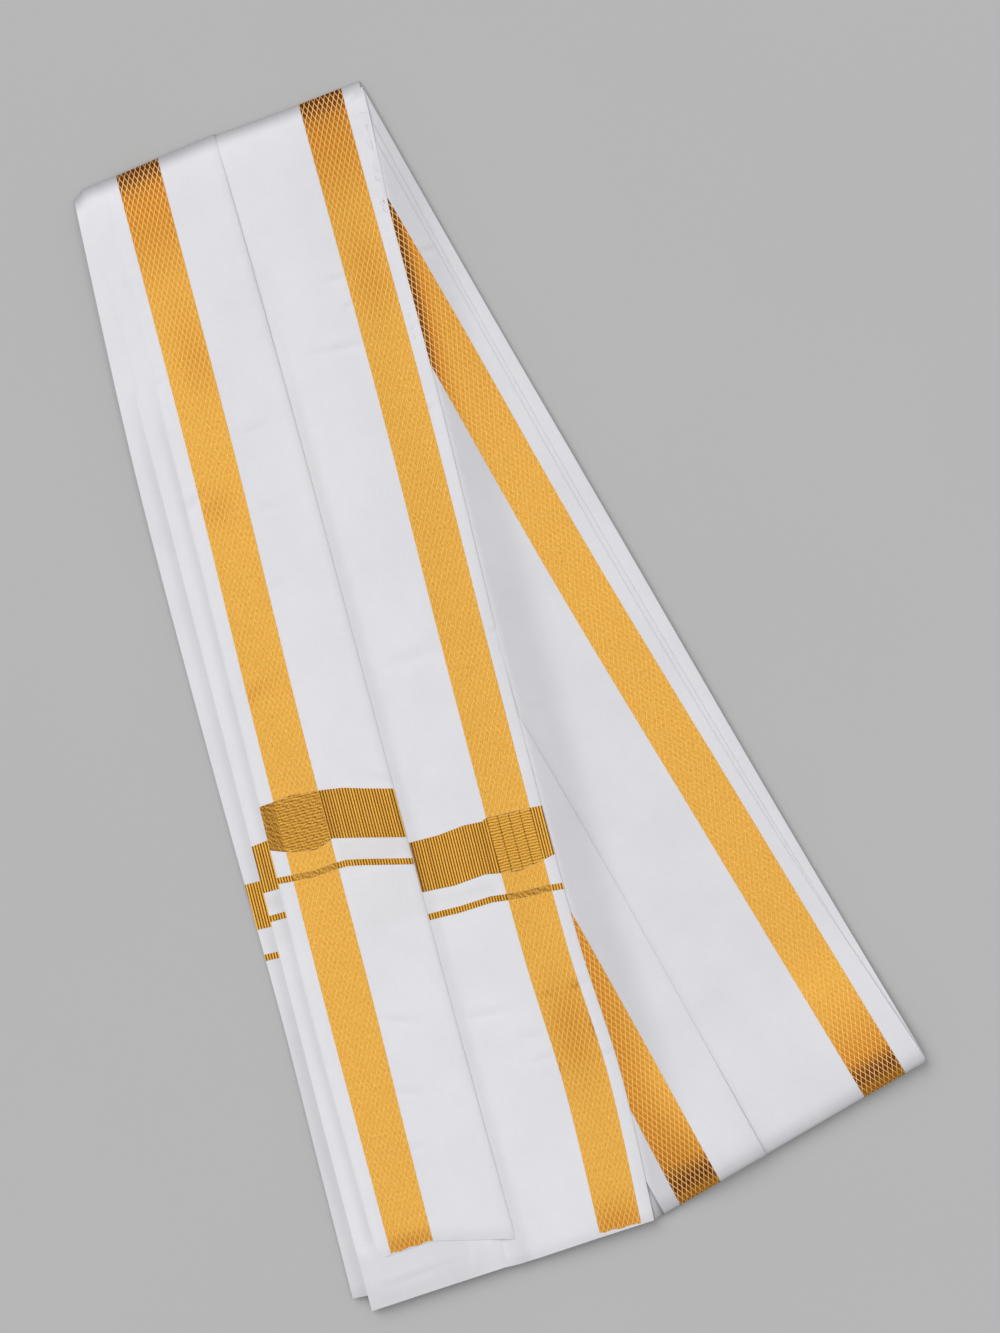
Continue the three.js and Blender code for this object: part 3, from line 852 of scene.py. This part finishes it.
# Ribs start lower beside an edge: from what height, and over what width they reach the full one.
TOP_RIBS_FROM, TOP_RIBS_OVER = 0.8, 9
LOWER_RIBS_FROM, LOWER_RIBS_OVER = 0.5, 4.5
WAVY_BEND = 0.14  # of the top pleat's rows
FINE_BEND = 0.2  # of the lower pleat's
DOT_STRETCH = 0.7
COLUMNS = 4  # of fine rows
COLUMN_EDGE = (0.44, 0.49)  # from a column's middle, where the gap between columns starts
COLUMN_GAP_DEPTH = 0.6
rib_waves = waves(seed=5, count=6, longest=18, shortest=3)
dot_waves = waves(seed=8, count=12, longest=3, shortest=1)


def rib(value, pitch):
    """0 in the grooves and 1 on the ridges of ribs of this pitch."""
    return 0.5 + 0.5 * np.cos(2 * math.pi * value / pitch)


def ribs(across):
    """Upright ribs, some of them lighter than others."""
    place = np.stack((across, np.zeros(np.shape(across))), -1)
    uneven = RIBS_UNEVEN[0] + RIBS_UNEVEN[1] * rib_waves(place)
    return np.clip(rib(across, RIB_PITCH) * uneven, 0, 1)


def dots(across, along):
    """Small uneven dots of thread."""
    points = np.stack((across, along), -1)
    return np.clip(DOTS[0] + DOTS[1] * dot_waves(points), 0, 1)


def top_ridges(across, along):
    """Top pleat's band: dots, then wavy rows over the border, then upright ribs."""
    points = np.stack((across, along), -1)
    left, right = FRONT.edge("leftIn", along), FRONT.edge("leftOut", along)
    rows = rib(along + WAVY_BEND * rib_waves(points), ROW_PITCH)
    wavy = WAVY_LEAST + WAVY_ROWS * rows + WAVY_DOTS * dots(across * DOT_STRETCH, along)
    beyond = across - right
    upright = ribs(beyond) * between(TOP_RIBS_FROM, 1, smoothstep(beyond, 0, TOP_RIBS_OVER))
    margin = MARGIN_DOTS[0] + MARGIN_DOTS[1] * dots(across, along)
    return np.where(across < left, margin, np.where(across < right, wavy, upright))


def lower_ridges(across, along):
    """Lower pleat's band: ribs, then four columns of fine rows over the border, then ribs."""
    points = np.stack((across, along), -1)
    left = FRONT.edge("rightIn", along)
    width = FRONT.edge("rightOut", along) - left
    share = (across - left) / width
    rows = between(*FINE_ROWS, rib(along + FINE_BEND * rib_waves(points), ROW_PITCH))
    gaps = smoothstep(np.abs((share * COLUMNS) % 1 - 0.5), *COLUMN_EDGE)
    inside = (share > 0) & (share < 1)
    from_fold = smoothstep(across - FRONT.edge("fold", along), 0, LOWER_RIBS_OVER)
    upright = ribs(across) * between(LOWER_RIBS_FROM, 1, from_fold)
    return np.where(inside, rows * (1 - COLUMN_GAP_DEPTH * gaps), upright)


def line_ridges(left, right):
    """A thin line: dots over the border between these edges, ribs beside it."""

    def ridges(across, along):
        over = (across > FRONT.edge(left, along)) & (across < FRONT.edge(right, along))
        dotted = LINE_DOTS[0] + LINE_DOTS[1] * dots(across, along)
        return np.where(over, dotted, ledge_ridges(across, along))

    return ridges


def ledge_ridges(across, along):
    return ribs(across)


# Beige where gold of the pleat underneath shows through: left, right, start, end, strength.
SHOW_THROUGH = {
    "front_top": [(45, 84, 342, 359, 0.25), (46, 84, 362, 390, 0.1)],
    "front_second": [(4, 15, 360, 370, 0.35), (4, 15, 374, 387, 0.2), (7, 15, 388.5, 391, 0.4)],
    "front_lower": [(84, 120, 379, 388, 0.2)],
}
SHOW_EDGE = 4  # over which it fades
SHOW_SPREAD = 0.5  # how far it spreads past its start and end

# Cream at the edges of a sheet, and how far in it reaches: the selvages' own threads, and along
# the top pleat's fold a painted highlight where its edge catches light.
CREAM_AND_HIGHLIGHT_EDGES = {"front_top": ["selvage", "fold"], "front_lower": ["rightSelvage"]}
CREAM_WIDTH = 1.0
CREAM = 0.3

# Painted shade on a sheet beside an edge: the edge, its side (-1 is left), how wide, how much,
# where from.
EDGE_SHADES = {
    "front_lower": [
        ("second", -1, 7, 0.15, 120),
        ("fold", 1, 9, 0.08, 120),
        ("outer", 1, 14, 0.03, 120),
        ("outer", 1, 14, 0.08, 430),
        ("rightSelvage", -1, 8, 0.06, 200),
    ],
    "front_second": [("selvage", -1, 6, 0.13, 120)],
    "back_lower": [
        ("fold", 1, 3, 0.06, 120),
        ("leftSelvage", -1, 14, 0.14, 400),
        ("leftSelvage", -1, 1.5, 0.25, 400),
    ],
}
EDGE_SHADE_FADE = 30
# Painted shade on a sheet before a line across it: the line, how wide, how much.
END_SHADES = {
    "front_top": [(TOP_END, 7, 0.08)],
    "front_second": [(TOP_END, 7, 0.08), (SECOND_END, 18, 0.07)],
    "front_lower": [(LOWER_END, 7, 0.1)],
}
# Painted shade where the folds round away from the light: how much, and how far in it reaches.
TOP_FOLD_SHADE = 0.46
TOP_FOLD_REACH = 8
LOWER_FOLD_SHADE = 0.18
LOWER_FOLD_REACH = 10
# Painted shade over the whole back stretch, which lies lower and further from the light.
BACK_SHADE = 0.045  # of the whole back stretch
# Painted shadow on it beside the front stretch's right selvage: how much, its share right at the
# selvage, how far out it is whole, and where it fades.
SELVAGE_SHADE = 0.14
SELVAGE_SHARE = 0.1
SELVAGE_WHOLE = 3
SELVAGE_FADE = (14, 30)
# Painted shade of the top pleat on the second one, up to its free end, and there less towards
# its fold.
TOP_END_FADE = 12
TOP_END_FADE_ACROSS = (45, 80)


def beige_amount(sheet):
    def amount(part):
        across, along = part["across"], part["along"]
        total = np.zeros(along.shape)
        for left, right, start, end, strength in SHOW_THROUGH.get(sheet, []):
            inside = smoothstep(across, left, left + SHOW_EDGE)
            inside = inside * (1 - smoothstep(across, right - SHOW_EDGE, right))
            inside = inside * smoothstep(along, start - SHOW_SPREAD, start + SHOW_EDGE)
            inside = inside * (1 - smoothstep(along, end - SHOW_EDGE, end + SHOW_SPREAD))
            total += strength * inside
        # Cream threads at the selvages, and a painted highlight along the top pleat's fold.
        for edge in CREAM_AND_HIGHLIGHT_EDGES.get(sheet, []):
            distance = np.abs(across - FRONT.edge(edge, along))
            total += CREAM * (1 - smoothstep(distance, 0, CREAM_WIDTH))
        return np.clip(total, 0, 1)

    return amount


# Painted shade on a sheet of cotton: at edges and lines, near the folds, and on the back stretch.
def painted_shade_amount(on, sheet):
    def amount(part):
        across, along = part["across"], part["along"]
        total = np.zeros(along.shape)
        for edge, side, width, strength, start in EDGE_SHADES.get(sheet, []):
            distance = side * (across - on.edge(edge, along))
            beside = smoothstep(along - start, -EDGE_SHADE_FADE, EDGE_SHADE_FADE)
            if sheet == "front_second":
                to_end = line_at(TOP_END, across) - along
                beside = beside * smoothstep(to_end, 0, TOP_END_FADE)
            beside = beside * (distance > -2 * CELL)
            total += strength * beside * (1 - smoothstep(distance, 0, width))
        for line, width, strength in END_SHADES.get(sheet, []):
            distance = line_at(line, across) - along
            under_top = sheet == "front_second" and line is TOP_END
            fade = 1 - smoothstep(across, *TOP_END_FADE_ACROSS) if under_top else 1
            total += strength * fade * (1 - smoothstep(distance, 0, width))
        if on is BACK:
            beyond = right_of_front(part["points"])
            beside = between(SELVAGE_SHARE, 1, smoothstep(beyond, 0, SELVAGE_WHOLE))
            beside = beside * (1 - smoothstep(beyond, *SELVAGE_FADE))
            total += BACK_SHADE + SELVAGE_SHADE * beside
            to_fold = BACK_LENGTH - along
            total += LOWER_FOLD_SHADE * (1 - smoothstep(to_fold, 0, LOWER_FOLD_REACH))
        fold = top_fold_distance(part["points"])
        return total + TOP_FOLD_SHADE * (1 - smoothstep(fold, 0, TOP_FOLD_REACH))

    return amount


# The cotton's beige, and its painted shade.
def cotton_beige_and_painted_shade(on, sheet):
    return {"beige": beige_amount(sheet), "shade": painted_shade_amount(on, sheet)}


# ---- Pieces ----

LEAF_SHELL = {"cell": LEAF_CELL, "row_cell": LEAF_ROW, "lips": (True, True), "hidden": (0.04, 0.9)}
# Pleats: the sheet, its edges (each a name and how far beside it), the line that it ends at on
# the front stretch, and its grid's options.
FRONT_PLEATS = [
    (
        "front_lower",
        (("outer", 0), ("rightSelvage", 0)),
        LOWER_END,
        {"lips": (True, False), "hidden": (0.14, 0.5)},
    ),
    ("front_second", (("second", 0), ("fold", -4)), SECOND_END, {"lips": (True, False)}),
    ("front_top", (("selvage", 0), ("fold", 0)), TOP_END, {"lips": (False, True)}),
]
BACK_PLEATS = [
    ("back_lower", (("coreLeft", 1), ("selvage", 0)), {"hidden": (0.03, 0.36)}),
    ("back_top", (("leftSelvage", 0), ("fold", 0)), {"lips": (False, True)}),
]
# Gold across a pleat: the sheet, the edges of its band, those of its border, and the border's end.
TOP_GOLD = "front_top", ("selvage", 0), ("fold", -0.15), ("leftIn", "leftOut"), TOP_GOLD_END
LOWER_GOLD = (
    "front_lower",
    ("fold", 0.3),
    ("rightSelvage", 0),
    ("rightIn", "rightOut"),
    LOWER_GOLD_END,
)
# Gold on a ledge: its name, its edges, and the sheet that it lies on.
SECOND_GOLD = "front_second", ("second", 0), ("selvage", 1), "front_second"
OUTER_GOLD = "front_outer", ("outer", 0), ("second", 1), "front_lower"
LEAF_INSET = 1.2  # of the front stretch's hidden layers, from the lower pleat's fold
GOLD_SHELL = {"rise": GOLD_RISE, "thickness": GOLD_LAYER}
GOLD_SPLIT = 0.1  # between a border and the band or line that breaks it
BACK_GOLD_START = 20  # how far in from the top fold the back stretch's borders start


def finish_piece(piece, node):
    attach(piece, "root")
    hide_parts(node)
    return piece


def cotton_piece(node, on, sheet, shells):
    piece = add_mesh(f"{node}_cloth", shells, COTTON, cotton_beige_and_painted_shade(on, sheet))
    return finish_piece(piece, node)


def pleat(node, on, left, right, start, end, sheet, **options):
    """A sheet of cotton."""
    return cotton_piece(node, on, sheet, [shell(on, left, right, start, end, sheet, **options)])


def border(node, on, left, right, start, end, sheet):
    """A strip of lattice gold on a sheet."""
    part = shell(on, (left, 0), (right, 0), start, end, sheet, uv_from=left, **GOLD_SHELL)
    # The gold's attribute is its painted sheen and shade.
    piece = add_mesh(f"{node}_gold", [part], LATTICE, {"painted_sheen": gold_painted_sheen(on)})
    return finish_piece(piece, node)


def band(node, left, right, start, end, sheet, ridges):
    """A strip of ribbed gold across a sheet of the front stretch."""

    def relief(across, along):
        return RELIEF * ridges(across, along)

    def ridge(part):
        return ridges(part["across"], part["along"])

    options = {"cell": BAND_CELL, "relief": relief, **GOLD_SHELL}
    part = shell(FRONT, left, right, start, end, sheet, **options)
    piece = add_mesh(f"{node}_gold", [part], RIBBED, {"ridge": ridge})
    return finish_piece(piece, node)


def pleat_gold(sheet, left, right, borders, end, ridges):
    """The gold of one pleat: its border, broken by the end band and the thin line."""
    band_start, band_end, line = BANDS[sheet]
    before_band, after_band = at_line(band_start, -GOLD_SPLIT), at_line(band_end, GOLD_SPLIT)
    before_line, after_line = at_line(line, -GOLD_SPLIT), at_line(line, LINE_WIDTH + GOLD_SPLIT)
    band_ends = at_line(band_start), at_line(band_end)
    line_ends = at_line(line), at_line(line, LINE_WIDTH)
    return [
        border(f"{sheet}_border", FRONT, *borders, "fold", before_band, sheet),
        band(f"{sheet}_band", left, right, *band_ends, sheet, ridges),
        border(f"{sheet}_border_gap", FRONT, *borders, after_band, before_line, sheet),
        band(f"{sheet}_line", left, right, *line_ends, sheet, line_ridges(*borders)),
        border(f"{sheet}_border_end", FRONT, *borders, after_line, at_line(end), sheet),
    ]


def ledge_gold(ledge, left, right, sheet):
    """The end of a band that shows on a ledge at the left."""
    band_start, band_end, line = BANDS[ledge]
    band_ends = at_line(band_start), at_line(band_end)
    line_ends = at_line(line), at_line(line, LINE_WIDTH)
    return [
        band(f"{ledge}_band", left, right, *band_ends, sheet, ledge_ridges),
        band(f"{ledge}_line", left, right, *line_ends, sheet, ledge_ridges),
    ]


def stagger(layer, stride, count, step):
    """An offset of 0 to count - 1 steps, which differs from one hidden layer to the next."""
    return step * (layer * stride % count)


def build_front_core():
    parts = []
    for i, level in enumerate(FRONT_LEAVES):
        left = ("outer", LEAF_INSET + stagger(i, 7, 4, 0.5))
        right = ("coreRight", -stagger(i, 5, 3, 0.4))
        ends = CORE_START, at_line(CORE_END, -stagger(i, 3, 4, 0.7))
        parts.append(shell(FRONT, left, right, *ends, "front_leaves", level=level, **LEAF_SHELL))
    return cotton_piece("front_core", FRONT, "front_leaves", parts)


def build_back_core():
    parts = []
    for i, level in enumerate(BACK_LEAVES):
        left = ("coreLeft", stagger(i, 7, 4, 0.5))
        right_edge = "second" if level == BACK_LEAVES[-1] else "outer"
        right = (right_edge, -stagger(i, 5, 3, 0.5))
        ends = BACK_START, "fold"
        parts.append(shell(BACK, left, right, *ends, "back_leaves", level=level, **LEAF_SHELL))
    return cotton_piece("back_core", BACK, "back_leaves", parts)


def build_front():
    core = build_front_core()
    lower, second, top = [
        pleat(f"{sheet}_pleat", FRONT, *edges, "fold", at_line(end), sheet, **options)
        for sheet, edges, end, options in FRONT_PLEATS
    ]
    top_gold = pleat_gold(*TOP_GOLD, top_ridges)
    lower_gold = pleat_gold(*LOWER_GOLD, lower_ridges)
    second_gold = ledge_gold(*SECOND_GOLD)
    outer_gold = ledge_gold(*OUTER_GOLD)


def build_back():
    core = build_back_core()
    lower, top = [
        pleat(f"{sheet}_pleat", BACK, *edges, BACK_START, "fold", sheet, cell=BACK_CELL, **options)
        for sheet, edges, options in BACK_PLEATS
    ]
    ends = BACK_GOLD_START, "fold"
    right_border = border("back_right_border", BACK, "rightIn", "rightOut", *ends, "back_lower")
    left_border = border("back_left_border", BACK, "leftIn", "leftOut", *ends, "back_top")


# ---- Stage ----

VIEW_CENTRE = (0.95, 15.7)  # what the camera looks straight down at
VIEW_HEIGHT = 663.8  # how much it sees from top to bottom
CAMERA_HEIGHT = 4000
SENSOR = 36
CLIP_END = 100  # metres
FLOOR_SIZE = 20  # metres
SKY_STRENGTH = 0.333
# The lights: name, direction they shine in, strength, and how broad they are in degrees.
SUNS = [
    ("overhead", (0, 0, -1), 0.93, 55),
    ("side", (0.637, -0.637, -1), 1.25, 45),
]


def build_stage():
    bpy.ops.mesh.primitive_plane_add(size=FLOOR_SIZE, location=(0, 0, 0))
    floor = bpy.context.object
    floor.name = "floor"
    floor.data.materials.append(floor_material())

    data = bpy.data.cameras.new("camera")
    data.sensor_fit = "VERTICAL"
    data.sensor_height = SENSOR
    data.sensor_width = SENSOR
    data.lens = SENSOR * CAMERA_HEIGHT / VIEW_HEIGHT
    data.clip_end = CLIP_END
    camera = bpy.data.objects.new("camera", data)
    camera.location = Vector((*VIEW_CENTRE, CAMERA_HEIGHT)) * METRE
    scene.collection.objects.link(camera)
    scene.camera = camera

    sky = bpy.data.worlds.new("studio")
    sky.use_nodes = True
    background = sky.node_tree.nodes["Background"]
    background.inputs["Color"].default_value = (1, 1, 1, 1)
    background.inputs["Strength"].default_value = SKY_STRENGTH
    scene.world = sky
    for sun in SUNS:
        add_sun(*sun)
    scene.view_settings.view_transform = "Standard"


def add_sun(name, direction, strength, degrees):
    """A broad soft light from far away."""
    data = bpy.data.lights.new(name, "SUN")
    data.energy = strength
    data.angle = math.radians(degrees)
    sun = bpy.data.objects.new(name, data)
    sun.rotation_euler = Vector(direction).to_track_quat("-Z", "Y").to_euler()
    scene.collection.objects.link(sun)


build_back()
build_front()
build_stage()
